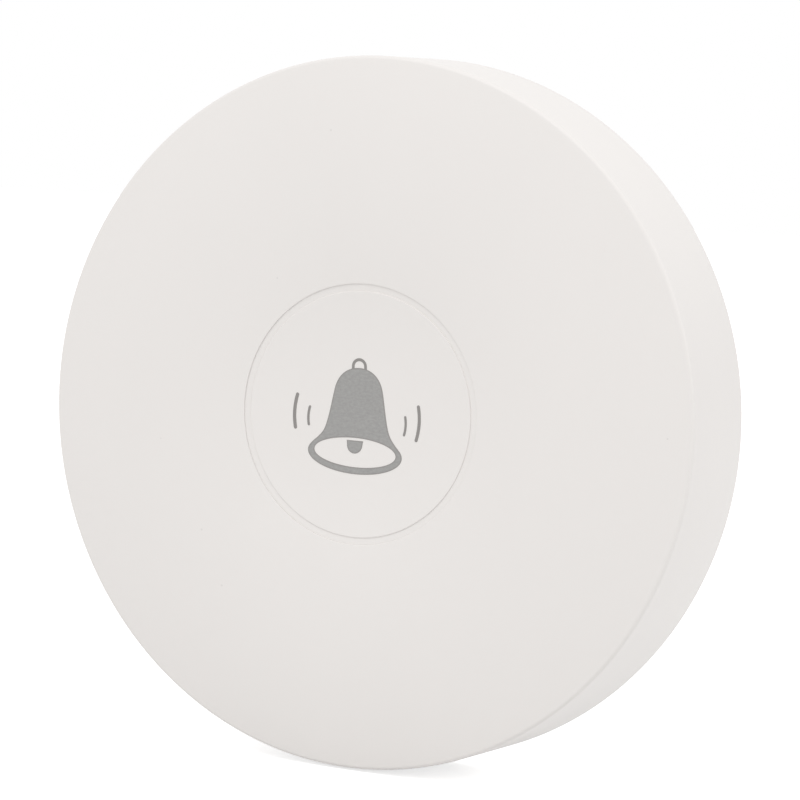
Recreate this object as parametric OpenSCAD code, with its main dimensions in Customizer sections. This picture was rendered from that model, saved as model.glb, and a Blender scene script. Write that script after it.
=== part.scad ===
// Wireless doorbell push: a round wall transmitter with a dished face and a flush round button.
// Millimetres. Each piece is drawn lying on its back, Z out of the wall; stand() turns it upright,
// so that the face looks along -Y, +Z is up and the wall is the plane y = 0.

/* [Case] */
// Diameter over the rear edge
case_d = 80; // [78:0.5:90]
// Wall to the highest ring of the face
case_depth = 15.3; // [15:0.1:20]
// Diameter of that highest ring
crest_d = 51.6; // [46:0.2:54]
// Fall of the face from the ring to the rim
rim_drop = 1.3; // [0.8:0.1:1.8]
// Slope of the side wall, in degrees
side_draft = 1.2; // [0.5:0.1:2.5]
// Thickness of the side wall
side_wall = 1.9; // [1.5:0.1:2.3]
// Thickness of the face
face_wall = 2.0; // [1.6:0.1:2.4]
// Rounding of the rim
rim_fillet = 0.5; // [0.2:0.05:1]
// Gap from the rear edge to the wall
rear_gap = 0.3; // [0.1:0.05:0.6]

/* [Button] */
// Diameter of the cap's face
button_d = 27.5; // [26:0.1:29]
// Width of the groove around it
groove_w = 0.75; // [0.4:0.05:1]
// Thickness of the opening's edge, above the cap's ledge
lip_t = 0.12; // [0.1:0.01:0.3]
// Reach of the opening's edge over the cap's shoulder
lip_over = 0.4; // [0.3:0.05:0.6]
// Gap between the cap's skirt and the guide collar
button_gap = 0.15; // [0.1:0.01:0.3]
// Thickness of the cap at its middle
button_wall = 1.4; // [1.2:0.1:1.8]
// Stroke of the cap and of the switch under it
button_travel = 0.8; // [0.4:0.05:1]
// Rounding of the cap's edge and of the opening
lip_fillet = 0.1; // [0.05:0.01:0.2]
// Thickness of the guide collar around the cap
collar_wall = 1.1; // [0.9:0.1:1.4]
// Depth of the guide collar
collar_len = 5.7; // [5:0.1:6.5]
// Thickness of the cap's skirt
skirt_wall = 1.4; // [1:0.1:1.8]
// Reach of the three stop hooks under the collar
hook_reach = 0.8; // [0.5:0.05:1]
// Height of the stop hooks
hook_h = 1.0; // [0.8:0.1:1.3]
// Width of the key that stops the cap from turning
key_w = 2; // [1.5:0.1:3]

/* [Wall plate] */
// Thickness of the plate
plate_t = 2; // [1.8:0.1:2.4]
// Gap from the plate to the case around it
plate_gap = 0.5; // [0.3:0.05:0.8]
// Distance between the two wall screws
screw_spacing = 54; // [50:0.5:56]
// Wall screw hole
screw_hole_d = 4.2; // [3.5:0.1:4.8]
// Wall screw head
screw_head_d = 8; // [7:0.1:9]
// Depth of the four hollows in the rear face
hollow_depth = 0.8; // [0.4:0.1:1]
// Turn that frees the case from the plate, in degrees
twist_angle = 18; // [17:1:24]
// Width of each of the three plate claws, in degrees
claw_w = 16; // [12:1:18]
// Hold of each claw over the case lug
claw_hold = 2; // [1.5:0.1:2.4]
// Thickness of the claws and of the lugs
claw_t = 1.4; // [1.1:0.1:1.6]

/* [Circuit board] */
// Thickness of the board
board_t = 1.6; // [1:0.1:1.8]
// Space under the board
board_under = 2.4; // [2.2:0.1:2.8]
// Board left around what stands on it
board_margin = 0.7; // [0.5:0.1:1.2]
// Outer diameter of the four board posts
post_d = 5.6; // [4.6:0.1:6]
// Board screw thread
board_screw_d = 2; // [1.6:0.1:2.4]
// Board screw length under its head
board_screw_len = 6; // [5:0.5:7]

/* [Switch] */
// Width of the switch
switch_w = 6.2; // [6:0.1:7]
// Height of the switch base
switch_base_h = 2.4; // [2.2:0.1:2.8]
// Height over the plunger
switch_h = 4.3; // [4.1:0.1:5]
// Diameter of the plunger
plunger_d = 3.4; // [3:0.1:3.6]
// Thickness of the sheet cover
cover_t = 0.3; // [0.2:0.05:0.4]
// Width of the two side tabs of the cover
tab_w = 2.8; // [2:0.1:3]
// Length of the side tabs
tab_drop = 1.6; // [1:0.1:1.9]
// Distance between the two terminals of a side
terminal_pitch = 4.2; // [3.9:0.1:4.4]
// Reach of the terminals
terminal_reach = 1.6; // [1:0.1:2]
// Width of the terminals
terminal_w = 0.7; // [0.5:0.05:0.9]

/* [Radio parts] */
// Diameter of the resonator can
can_d = 9.2; // [8:0.1:9.6]
// Height of the resonator can
can_h = 3.3; // [2.5:0.1:4]
// Mean diameter of the antenna coil
coil_d = 4; // [3.4:0.1:4.4]
// Antenna wire
coil_wire = 0.7; // [0.5:0.05:0.8]
// Turns of the antenna coil
coil_turns = 9; // [7:1:10]
// Length of the antenna coil
coil_len = 15; // [14:0.5:16]

/* [Small board parts] */
// Length of the encoder chip
encoder_l = 4.9; // [4.5:0.1:5.2]
// Width of the encoder chip
encoder_w = 3.9; // [3.5:0.1:4.2]
// Height of the encoder chip
encoder_h = 1.45; // [1.2:0.05:1.7]
// Pitch of its leads
encoder_pitch = 1.27; // [1:0.01:1.27]
// Length of the transistor
transistor_l = 2.9; // [2.6:0.1:3.1]
// Width of the transistor
transistor_w = 1.3; // [1.1:0.1:1.5]
// Height of the transistor
transistor_h = 0.95; // [0.8:0.05:1.1]
// Width of the small leads
lead_w = 0.42; // [0.3:0.02:0.5]
// Thickness of all leads
lead_t = 0.2; // [0.15:0.01:0.25]
// Length of a chip resistor or capacitor
chip_l = 2.2; // [1.8:0.1:2.4]
// Width of a chip resistor or capacitor
chip_w = 1.3; // [1:0.1:1.6]
// Height of the chip resistors
resistor_h = 0.55; // [0.4:0.05:0.7]
// Height of the chip capacitors
capacitor_h = 0.9; // [0.6:0.05:1.1]
// Distance of the side parts from the button's axis
side_x = 8; // [7.6:0.1:8.4]
// Distance of the row of capacitors from the button's axis
row_up = 8.4; // [8:0.1:9]
// Distance of the row of resistors from the button's axis
row_down = 5; // [4.6:0.1:6]
// Pitch of both rows
row_pitch = 3.2; // [2.8:0.1:3.4]

/* [Battery] */
// Diameter of the cell
cell_d = 10.3; // [9.8:0.05:10.5]
// Length of the cell over its pole
cell_len = 28.5; // [27:0.1:29]
// Diameter of the pole
pole_d = 4; // [3:0.1:5]
// Height of the pole
pole_h = 1.1; // [0.8:0.1:1.4]
// Width of the contact plates
contact_w = 8.6; // [8:0.1:9]
// Thickness of the contact plates
contact_t = 0.4; // [0.3:0.05:0.5]
// Length of the negative spring as fitted
spring_len = 3.6; // [3.3:0.1:4]
// Spring wire
spring_wire = 0.5; // [0.4:0.05:0.55]
// Mean diameter of the spring at the plate
spring_d = 6.2; // [5.6:0.1:6.4]
// Mean diameter of the spring at the cell
spring_tip_d = 4.4; // [3.6:0.1:5]

/* [Hidden] */
$fn = 96;

arc_n = 6;

// Loose fit, near touch, and the depth by which a feature is bedded in another
slack = 0.2;
touch = 0.05;
bed = 0.5;
// Gaps beside the guide collar, around the cell, and between collar and cell
part_gap = 0.4;
cell_gap = 0.3;
cell_room = 1.4;

// Case and face
case_r = case_d / 2;
rim_z = case_depth - rim_drop;
rim_r = side_r(rim_z);
crest_r = crest_d / 2;
button_r = button_d / 2;
mouth_r = button_r + groove_w;
bore_r = mouth_r + lip_over;
slide_r = bore_r - button_gap;
crown_k = 2 * rim_drop / pow(rim_r - crest_r, 2);
lip_z = crown_z(mouth_r);
dish_k = crown_k * (crest_r - mouth_r) / mouth_r;
groove_h = lip_t + 2 * touch;
lip_round = min(lip_fillet, 0.9 * lip_t);
bed_z = case_depth - face_wall + bed;

// Guide collar and cap
collar_r = bore_r + collar_wall;
collar_z = lip_z - collar_len;
skirt_r = slide_r - skirt_wall;
skirt_z = collar_z + 2 * slack;
hook_top = collar_z - 2 * touch;
under_z = face_z(0) - button_wall;
tip_r = plunger_d / 2 + cell_gap;
rib_h = 1;
key_h = 1.8;
finger_w = 20;
finger_slot = 4;
finger_deep = 2;

// Twist lock
plate_r = case_r - side_wall - plate_gap;
lug_z = plate_t + 1;
claw_z = lug_z + claw_t + slack;
claw_top = claw_z + claw_t;
lug_r = plate_r - claw_hold;
claw_out_r = lug_r - 0.5;
claw_in_r = claw_out_r - 1.6;
inner_r = claw_in_r - 0.5;
claw_at = [90, 210, 330];
lug_fore = claw_w / 2 + 0.5;
lug_back = twist_angle - claw_w / 2 - 1.5;
pad_r = screw_head_d / 2 + 2;
pad_z = plate_t + 1.2;
sink_h = (screw_head_d - screw_hole_d) / 2;

// Board and what it carries
board_z = plate_t + board_under;
board_top = board_z + board_t;
post_r = post_d / 2;
post_ring_r = collar_r + part_gap + post_r;
post_at = [for (a = [-20, 50, 130, 200]) post_ring_r * [cos(a), sin(a)]];
can_y = collar_r + part_gap + can_d / 2;
coil_r = (coil_d + coil_wire) / 2;
coil_x = collar_r + part_gap + coil_r;
coil_z = board_top + coil_r + cell_gap;
coil_y = -coil_len / 10;
board_w = 2 * (coil_x + coil_r + board_margin);
pin_y = -(collar_r - 3.6);
pin_w = 1.2;
board_y0 = pin_y - pin_w / 2 - board_margin;
board_y1 = can_y + can_d / 2 + board_margin;
plunger_top = board_top + switch_h;
cover_z = board_top + switch_base_h;
cavity_r = switch_w / 2 - 0.8;
flange_t = 0.4;
flange_z = cover_z - flange_t - 2 * touch;
dome_r = cavity_r - 2 * touch;
dome_t = 0.12;
dome_h = button_travel + slack;
cavity_z = flange_z - dome_h - dome_t - 2 * touch;

// Battery and contacts
cell_r = cell_d / 2;
cell_y = -(collar_r + cell_room + cell_r);
cell_z = case_depth - face_wall - cell_gap - cell_r;
dimple_h = 0.5;
cell_hollow = 0.2;
cell_x = (spring_len - dimple_h) / 2;
plus_x = cell_x + cell_len / 2 + dimple_h;
minus_x = cell_x - cell_len / 2 - spring_len;
contact_z = plate_t + 1.6;
contact_top = cell_z + cell_r - 0.8;
tail_z = board_top + cell_gap;
tail_top = tail_z + 2;

function side_r(z) = case_r - (z - rear_gap) * tan(side_draft);
function crown_z(r) = case_depth - crown_k / 2 * pow(r - crest_r, 2);
function face_z(r) = r < mouth_r ? lip_z - dish_k / 2 * (mouth_r * mouth_r - r * r) : crown_z(r);
function steps(a, b, n) = [for (i = [1:n - 1]) a + (b - a) * i / n];
function unit(v) = v / norm(v);

// One rounded corner p between its neighbours a and b
function corner(a, p, b, r) =
    let (u = unit(a - p), v = unit(b - p), half = acos(u * v) / 2)
    let (c = p + unit(u + v) * r / sin(half))
    let (s = p + u * r / tan(half) - c, e = p + v * r / tan(half) - c)
    let (a0 = atan2(s.y, s.x), turn = (atan2(e.y, e.x) - a0 + 540) % 360 - 180)
    [for (i = [0:arc_n]) c + r * [cos(a0 + turn * i / arc_n), sin(a0 + turn * i / arc_n)]];

// A closed outline from [x, y, rounding] points
function outline(path) =
    let (n = len(path), flat = [for (q = path) [q.x, q.y]])
    [for (i = [0:n - 1])
        each path[i].z > 0
            ? corner(flat[(i + n - 1) % n], flat[i], flat[(i + 1) % n], path[i].z)
            : [flat[i]]];

// Rings of a round wire along a path, set square to it by the direction side
function wire_rings(path, r, side, sides) =
    [for (i = [0:len(path) - 1])
        let (t = unit(path[min(i + 1, len(path) - 1)] - path[max(i - 1, 0)]))
        let (n = unit(cross(t, side)), b = cross(n, t))
        for (k = [0:sides - 1]) path[i] + r * (cos(360 * k / sides) * n + sin(360 * k / sides) * b)];

module stand() rotate([90, 0, 0]) children();

module sector(a, w) rotate([0, 0, a]) rotate_extrude(angle = w) children();

// A flat piece in the plane across X, from x to x + t, drawn with its outline in Y and Z
module across(x, t) translate([x, 0, 0]) rotate([90, 0, 90]) linear_extrude(t) children();

module wire(path, r, side, sides = 6) {
    m = len(path) - 1;
    tube = [for (i = [0:m - 1], k = [0:sides - 1])
        let (a = i * sides + k, b = i * sides + (k + 1) % sides)
        each [[a, b, b + sides], [a, b + sides, a + sides]]];
    ends = [[for (k = [0:sides - 1]) sides - 1 - k], [for (k = [0:sides - 1]) m * sides + k]];
    polyhedron(points = wire_rings(path, r, side, sides), faces = concat(tube, ends));
}

// Gull-wing lead: foot on the board, rise, shoulder into the body at x = 0, running out along X
module lead(reach, rise, w, t) {
    path = [[0, rise], [reach * 0.35, rise], [reach * 0.6, 0], [reach, 0],
            [reach, t], [reach * 0.6 + t * 0.8, t], [reach * 0.35 + t * 0.8, rise + t], [0, rise + t]];
    translate([0, w / 2, 0]) rotate([90, 0, 0]) linear_extrude(w) polygon(path);
}

module base_plate() color("white") stand() difference() {
    union() {
        rotate_extrude() polygon(outline([
            [0, 0, 0], [plate_r, 0, 0.3], [plate_r, plate_t, 0.3], [0, plate_t, 0]]));
        for (s = [-1, 1]) translate([s * screw_spacing / 2, 0, plate_t - bed])
            cylinder(r = pad_r, h = pad_z - plate_t + bed);
        for (a = claw_at) sector(a - claw_w / 2, claw_w) plate_claw_outline();
    }
    for (s = [-1, 1]) translate([s * screw_spacing / 2, 0, 0]) {
        translate([0, 0, -1]) cylinder(d = screw_hole_d, h = pad_z + 2);
        translate([0, 0, pad_z - sink_h]) cylinder(d1 = screw_hole_d, d2 = screw_head_d, h = sink_h);
        translate([0, 0, pad_z]) cylinder(d = screw_head_d, h = 1);
    }
    for (a = [45:90:315]) sector(a - 30, 60) translate([9, -1])
        square([claw_in_r - 11, hollow_depth + 1]);
    for (a = [0:twist_angle / 3:twist_angle]) rotate([0, 0, a]) cell_space();
}

// The cell with a gap all round, which the plate keeps free over the whole turn
module cell_space() translate([cell_x - cell_len / 2 - cell_gap, cell_y, cell_z]) rotate([0, 90, 0])
    cylinder(r = cell_r + cell_gap, h = cell_len + 2 * cell_gap);

// Upright of a claw and the tab that holds down the case lug
module plate_claw_outline() polygon([
    [claw_in_r, plate_t - bed], [claw_out_r, plate_t - bed], [claw_out_r, claw_z],
    [plate_r, claw_z], [plate_r, claw_top - 0.4], [plate_r - 0.4, claw_top], [claw_in_r, claw_top]]);

module front_shell() color("white") stand() difference() {
    union() {
        shell_skin();
        for (a = [-38, -8, 65, 115, 188, 218]) rotate([0, 0, a]) face_rib();
        for (p = post_at) translate([p.x, p.y, board_top]) cylinder(r = post_r, h = bed_z - board_top);
        for (a = claw_at) case_lug(a);
        intersection() {
            battery_bay();
            cylinder(r = inner_r, h = case_depth);
        }
    }
    for (p = post_at) translate([p.x, p.y, board_top - 1])
        cylinder(d = board_screw_d + 2 * touch, h = board_screw_len - board_t + 1.6);
    translate([-key_w / 2 - slack, -collar_r - bed, collar_z - bed])
        cube([key_w + 2 * slack, collar_wall + 2 * bed, skirt_z - collar_z + key_h + bed + 4 * slack]);
}

// Side wall, swelling face, overhanging edge of the opening and guide collar, turned in one piece
module shell_skin() rotate_extrude() polygon(outline(concat(
    [[case_r, rear_gap, 0.3], [rim_r, rim_z, rim_fillet]],
    [for (r = steps(rim_r, mouth_r, 24)) [r, crown_z(r), 0]],
    [[mouth_r, lip_z, lip_round], [mouth_r, lip_z - lip_t, 0], [bore_r, lip_z - lip_t - lip_over, 0]],
    [[bore_r, collar_z, 0.2], [collar_r, collar_z, 0.2]],
    [[collar_r, crown_z(collar_r) - face_wall, 0.6]],
    [for (r = steps(collar_r, rim_r - side_wall, 12)) [r, crown_z(r) - face_wall, 0]],
    [[rim_r - side_wall, crown_z(rim_r - side_wall) - face_wall, 0.8], [case_r - side_wall, rear_gap, 0.2]])));

// Stiffening rib under the face, from the collar to the side wall
module face_rib() {
    far_r = rim_r - side_wall / 2;
    low_z = case_depth - face_wall - 1.6 * rib_h;
    rotate([90, 0, 0]) linear_extrude(1.2, center = true) polygon(concat(
        [[collar_r - bed, low_z], [far_r, low_z]],
        [for (r = [far_r:(collar_r - far_r) / 8:collar_r - bed]) [r, crown_z(r) - face_wall + bed]]));
}

// Lug that slides under a plate claw, with the stop that ends the turn
module case_lug(a) {
    wall_r = side_r(lug_z) - side_wall + bed;
    sector(a - lug_back, lug_back + lug_fore) polygon([
        [lug_r, lug_z + 0.4], [lug_r + 0.4, lug_z], [wall_r, lug_z],
        [wall_r, lug_z + claw_t], [lug_r, lug_z + claw_t]]);
    sector(a + lug_fore, 2) translate([lug_r, lug_z])
        square([wall_r - lug_r, claw_top + slack - lug_z]);
}

// Two saddles for the cell and a slotted holder for each contact plate
module battery_bay() difference() {
    union() {
        for (x = [-7, 7]) translate([cell_x + x - 0.7, cell_y - cell_r - 0.8, cell_z])
            cube([1.4, cell_d + 1.6, bed_z - cell_z]);
        for (s = [-1, 1]) contact_holder(s);
    }
    translate([cell_x - cell_len / 2, cell_y, cell_z]) rotate([0, 90, 0])
        cylinder(r = cell_r + 2 * touch, h = cell_len - pole_h + 2 * touch);
}

// Holder at one end: back wall, slot for the plate and two lips over the plate's edges
module contact_holder(s) {
    w = contact_w + 2 * slack;
    h = contact_top + slack - contact_z + 1;
    t = contact_t + slack;
    seat = s > 0 ? plus_x : -minus_x;
    translate([0, cell_y, 0]) scale([s, 1, 1]) difference() {
        translate([seat - 1, -w / 2 - 0.9, contact_z])
            cube([contact_t + 2.4, w + 1.8, bed_z - contact_z]);
        translate([seat - slack / 2, -w / 2, contact_z - 1]) cube([t, w, h]);
        translate([seat - 2, -w / 2 + 0.7, contact_z - 1]) cube([2.5, w - 1.4, h]);
        translate([seat - slack / 2, 0, contact_z - 1]) cube([t, w, tail_top + slack - contact_z + 1]);
    }
}

module button_cap() color("white") stand() {
    difference() {
        rotate_extrude() polygon(outline(concat(
            [[0, under_z, 0], [0, face_z(0), 0]],
            [for (r = steps(0, button_r, 12)) [r, face_z(r), 0]],
            [[button_r, face_z(button_r), lip_round], [button_r, face_z(button_r) - groove_h, 0]],
            [[mouth_r, lip_z - groove_h, 0], [slide_r, lip_z - groove_h - (slide_r - mouth_r), 0]],
            [[slide_r, hook_top, 0], [slide_r + hook_reach, hook_top, 0]],
            [[slide_r + hook_reach, hook_top - 0.4, 0], [slide_r + 0.1, hook_top - hook_h, 0]],
            [[skirt_r, hook_top - hook_h, 0]],
            [[skirt_r, under_z, 0.6]])));
        for (a = claw_at) sector(a + finger_w / 2 + 1, 118 - finger_w)
            translate([skirt_r - 1, hook_top - hook_h - 1])
                square([skirt_wall + hook_reach + 2, skirt_z - hook_top + hook_h + 1]);
        for (a = claw_at, s = [-1, 1])
            sector(a + s * (finger_w + finger_slot) / 2 - finger_slot / 2, finger_slot)
                translate([skirt_r - 1, skirt_z - 1]) square([skirt_wall + 2, finger_deep + 1]);
    }
    translate([0, 0, plunger_top + touch]) cylinder(r = tip_r, h = under_z + bed - plunger_top - touch);
    for (a = [0:60:300]) rotate([0, 0, a]) translate([tip_r - slack, -rib_h / 2, under_z - rib_h])
        cube([skirt_r + bed - tip_r + slack, rib_h, rib_h + bed]);
    translate([-key_w / 2, -bore_r - collar_wall / 2, skirt_z + slack]) cube([key_w, collar_wall, key_h]);
}

module circuit_board() color("green") stand() translate([0, 0, board_z])
    linear_extrude(board_t) difference() {
        intersection() {
            translate([-board_w / 2, board_y0]) square([board_w, board_y1 - board_y0]);
            circle(r = inner_r);
        }
        for (p = post_at) translate(p) circle(d = board_screw_d + 2 * slack);
        for (x = [plus_x, minus_x - contact_t]) translate([x - slack, pin_y - pin_w / 2 - slack])
            square([contact_t + 2 * slack, pin_w + 2 * slack]);
    }

module board_screws() color("silver") stand()
    for (p = post_at) translate([p.x, p.y, board_z]) board_screw();

module board_screw() {
    head_r = board_screw_d * 0.95;
    head_h = board_screw_d * 0.6;
    difference() {
        rotate_extrude() polygon(outline([[0, -head_h, 0], [head_r, -head_h, head_h * 0.7], [head_r, 0, 0],
            [board_screw_d / 2, 0, 0], [board_screw_d / 2, board_screw_len - 1, 0], [0, board_screw_len, 0]]));
        for (a = [0, 90]) rotate([0, 0, a]) translate([-head_r * 0.6, -0.25, -head_h - 1])
            cube([head_r * 1.2, 0.5, 1 + head_h * 0.58]);
    }
}

module switch_base() color("dimgray") stand() translate([0, 0, board_top]) difference() {
    h = switch_w / 2;
    linear_extrude(switch_base_h)
        polygon(outline([for (c = [[-1, -1], [1, -1], [1, 1], [-1, 1]]) [c.x * h, c.y * h, 0.6]]));
    translate([0, 0, cavity_z - board_top]) cylinder(r = cavity_r, h = switch_base_h);
}

module switch_cover() color("silver") stand() {
    h = switch_w / 2;
    translate([0, 0, cover_z]) linear_extrude(cover_t) difference() {
        square([switch_w + 2 * (cover_t + touch), switch_w], center = true);
        circle(d = plunger_d + 2 * slack);
    }
    for (s = [-1, 1]) across(s > 0 ? h + touch : -h - touch - cover_t, cover_t) polygon(outline([
        [-tab_w / 2, cover_z + cover_t, 0], [-tab_w / 2, cover_z - tab_drop, tab_w / 7],
        [tab_w / 2, cover_z - tab_drop, tab_w / 7], [tab_w / 2, cover_z + cover_t, 0]]));
}

module switch_dome() color("silver") stand() rotate_extrude() polygon(concat(
    [for (i = [0:8]) [dome_r * i / 8, cavity_z + touch + dome_h * (1 - pow(i / 8, 2))]],
    [for (i = [8:-1:0]) [dome_r * i / 8, cavity_z + touch + dome_t + dome_h * (1 - pow(i / 8, 2))]]));

module switch_plunger() color("black") stand() rotate_extrude() polygon(outline([
    [0, flange_z, 0], [cavity_r - slack, flange_z, 0], [cavity_r - slack, flange_z + flange_t, 0],
    [plunger_d / 2, flange_z + flange_t, 0], [plunger_d / 2, plunger_top, flange_t], [0, plunger_top, 0]]));

module switch_terminals() color("silver") stand()
    for (s = [0, 180], y = [-0.5, 0.5])
        rotate([0, 0, s]) translate([switch_w / 2, y * terminal_pitch, board_top])
            lead(terminal_reach, switch_base_h * 0.3, terminal_w, lead_t);

module encoder_chip() color("black") stand() translate([-side_x, row_down / 3, board_top + touch])
    difference() {
        linear_extrude(encoder_h) square([encoder_l, encoder_w], center = true);
        translate([-encoder_l * 0.37, -encoder_w / 3, encoder_h - 2 * touch])
            cylinder(d = encoder_l / 7, h = 1);
    }

module encoder_leads() color("silver") stand() translate([-side_x, row_down / 3, board_top])
    for (s = [90, 270], i = [-1.5:1.5])
        rotate([0, 0, s]) translate([encoder_w / 2, i * encoder_pitch, 0])
            lead(encoder_w * 0.27, encoder_h / 2, lead_w, lead_t);

module rf_resonator() color("silver") stand() translate([0, can_y, board_top])
    rotate_extrude() polygon(outline([
        [0, 0, 0], [can_d / 2, 0, 0], [can_d / 2, 0.5, 0], [can_d / 2 - 0.5, 0.6, 0],
        [can_d / 2 - 0.5, can_h, 0.5], [0, can_h, 0]]));

module rf_transistor() color("black") stand() translate([side_x, row_down / 2, board_top + touch])
    linear_extrude(transistor_h) square([transistor_l, transistor_w], center = true);

module transistor_leads() color("silver") stand() translate([side_x, row_down / 2, board_top])
    for (k = [[90, 0], [270, -1], [270, 1]]) translate([k[1] * transistor_l / 3, 0, 0]) rotate([0, 0, k[0]])
        translate([transistor_w / 2, 0, 0]) lead(transistor_w * 0.46, transistor_h / 2, lead_w, lead_t * 0.7);

// Two chips each side of the button's axis, at height y on the board
module chip_row(y, h) for (s = [-1, 1], i = [0, 1])
    translate([s * (side_x + (i - 0.4) * row_pitch), y, board_top]) chip(h);

// A block with a metal cap on each end
module chip(h) {
    linear_extrude(h - touch) square([chip_l * 0.6, chip_w - touch], center = true);
    for (e = [-1, 1]) translate([e * chip_l * 0.39, 0, 0])
        linear_extrude(h) square([chip_l * 0.22, chip_w], center = true);
}

module chip_resistors() color("dimgray") stand() chip_row(-row_down, resistor_h);

module chip_capacitors() color("tan") stand() chip_row(row_up, capacitor_h);

// Copper coil on the board's edge, both ends bent down onto the board
module antenna_coil() color("orange") stand() {
    n = coil_turns * 12;
    turns = [for (i = [0:n]) let (a = 360 * i / 12 - 90)
        [coil_x + coil_d / 2 * cos(a), coil_y + coil_len * i / n, coil_z + coil_d / 2 * sin(a)]];
    foot = board_top + coil_wire / 2 + touch;
    start = [[coil_x - 2, coil_y, foot], [coil_x - 1, coil_y, foot]];
    end = [[coil_x + 1, coil_y + coil_len, foot], [coil_x + 2, coil_y + coil_len, foot]];
    wire(concat(start, turns, end), coil_wire / 2, [0, 1, 0]);
}

module battery_cell() color("royalblue") stand()
    translate([cell_x - cell_len / 2, cell_y, cell_z]) rotate([0, 90, 0]) rotate_extrude() polygon(outline([
        [0, cell_hollow, 0], [cell_r - 1.2, cell_hollow, 0], [cell_r - 0.9, 0, 0], [cell_r, 0, 0.5],
        [cell_r, cell_len - pole_h, 0.5], [pole_d / 2, cell_len - pole_h, 0],
        [pole_d / 2, cell_len, 0.3], [0, cell_len, 0]]));

// Contact plate in its holder, with the tail that runs to its pin in the board
module contact_plate(x) {
    w = contact_w / 2;
    pin_y0 = pin_y - pin_w / 2;
    pin_y1 = pin_y + pin_w / 2;
    across(x, contact_t) polygon(outline([
        [cell_y - w, contact_z + slack, 0.6], [cell_y + w, contact_z + slack, 0.6],
        [cell_y + w, tail_z, 0.4], [pin_y0, tail_z, 0.2], [pin_y0, board_z - 0.6, 0],
        [pin_y1, board_z - 0.6, 0], [pin_y1, tail_top, 0.6], [cell_y + w, tail_top, 0.4],
        [cell_y + w, contact_top, 0.6], [cell_y - w, contact_top, 0.6]]));
}

module positive_contact() color("silver") stand() {
    contact_plate(plus_x);
    translate([plus_x - dimple_h, cell_y, cell_z]) rotate([0, 90, 0])
        cylinder(r1 = pole_d * 0.3, r2 = pole_d / 2, h = dimple_h + touch);
}

module negative_contact() color("silver") stand() contact_plate(minus_x - contact_t);

// Tapered coil spring between the negative plate and the cell
module contact_spring() color("silver") stand() {
    turns = 3;
    n = turns * 12;
    run = spring_len + cell_hollow - spring_wire - 4 * touch;
    path = [for (i = [0:n])
        let (a = 360 * i / 12, f = i / n, r = (spring_d * (1 - f) + spring_tip_d * f) / 2)
        [minus_x + spring_wire / 2 + 2 * touch + run * f, cell_y + r * cos(a), cell_z + r * sin(a)]];
    wire(path, spring_wire / 2, [1, 0, 0]);
    apart = min([for (i = [0:n], j = [i + 6:1:n]) norm(path[i] - path[j])]) - spring_wire;
    echo(contact_spring_least_gap = apart);
}

base_plate();
front_shell();
button_cap();
circuit_board();
board_screws();
switch_base();
switch_cover();
switch_dome();
switch_plunger();
switch_terminals();
encoder_chip();
encoder_leads();
rf_resonator();
rf_transistor();
transistor_leads();
chip_resistors();
chip_capacitors();
antenna_coil();
battery_cell();
positive_contact();
negative_contact();
contact_spring();
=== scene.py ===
"""Looks of a wireless doorbell push: a round white case, a flush button and a printed bell.

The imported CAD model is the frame. The case and the button get finely turned skins over their CAD details,
the bell is a thin printed layer on the button, and the wall plate and the snap dome are merged copies of
their nodes. Every other CAD node keeps its mesh and gets a finish. Sizes in the classes are millimetres,
and depth is measured from the wall towards the viewer, along -Y.
"""

import logging
import math
from dataclasses import dataclass, field
from enum import Enum
from typing import Optional, Union

import bmesh
import bpy
from mathutils import Matrix, Vector

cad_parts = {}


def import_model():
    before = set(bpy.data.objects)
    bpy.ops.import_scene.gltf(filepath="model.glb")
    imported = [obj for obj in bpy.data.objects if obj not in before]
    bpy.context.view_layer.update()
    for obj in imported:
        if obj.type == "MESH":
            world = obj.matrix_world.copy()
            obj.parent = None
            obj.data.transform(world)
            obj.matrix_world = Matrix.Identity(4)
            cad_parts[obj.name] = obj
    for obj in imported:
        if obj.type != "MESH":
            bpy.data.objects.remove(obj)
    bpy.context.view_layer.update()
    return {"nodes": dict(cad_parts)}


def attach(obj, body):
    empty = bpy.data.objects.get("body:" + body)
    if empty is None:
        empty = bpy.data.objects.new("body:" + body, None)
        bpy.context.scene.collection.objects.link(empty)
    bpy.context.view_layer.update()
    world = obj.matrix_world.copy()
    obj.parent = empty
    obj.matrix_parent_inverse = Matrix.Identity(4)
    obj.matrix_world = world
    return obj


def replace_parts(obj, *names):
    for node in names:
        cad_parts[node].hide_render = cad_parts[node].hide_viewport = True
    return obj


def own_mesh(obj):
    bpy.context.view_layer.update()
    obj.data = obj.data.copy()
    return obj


# Vertices closer than MERGE metres become one, and an edge that bends by more than SHARP is sharp.
MM = 0.001
MERGE = 1e-6
SHARP = math.radians(30)
CONTOUR = "contour"
WHITE = (1, 1, 1, 1)
LOG = logging.getLogger("doorbell_push")

Triple = tuple[float, float, float]
Colour = Triple
Point = tuple[float, float]
Number = Union[float, "Value"]


# Nodes


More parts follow.
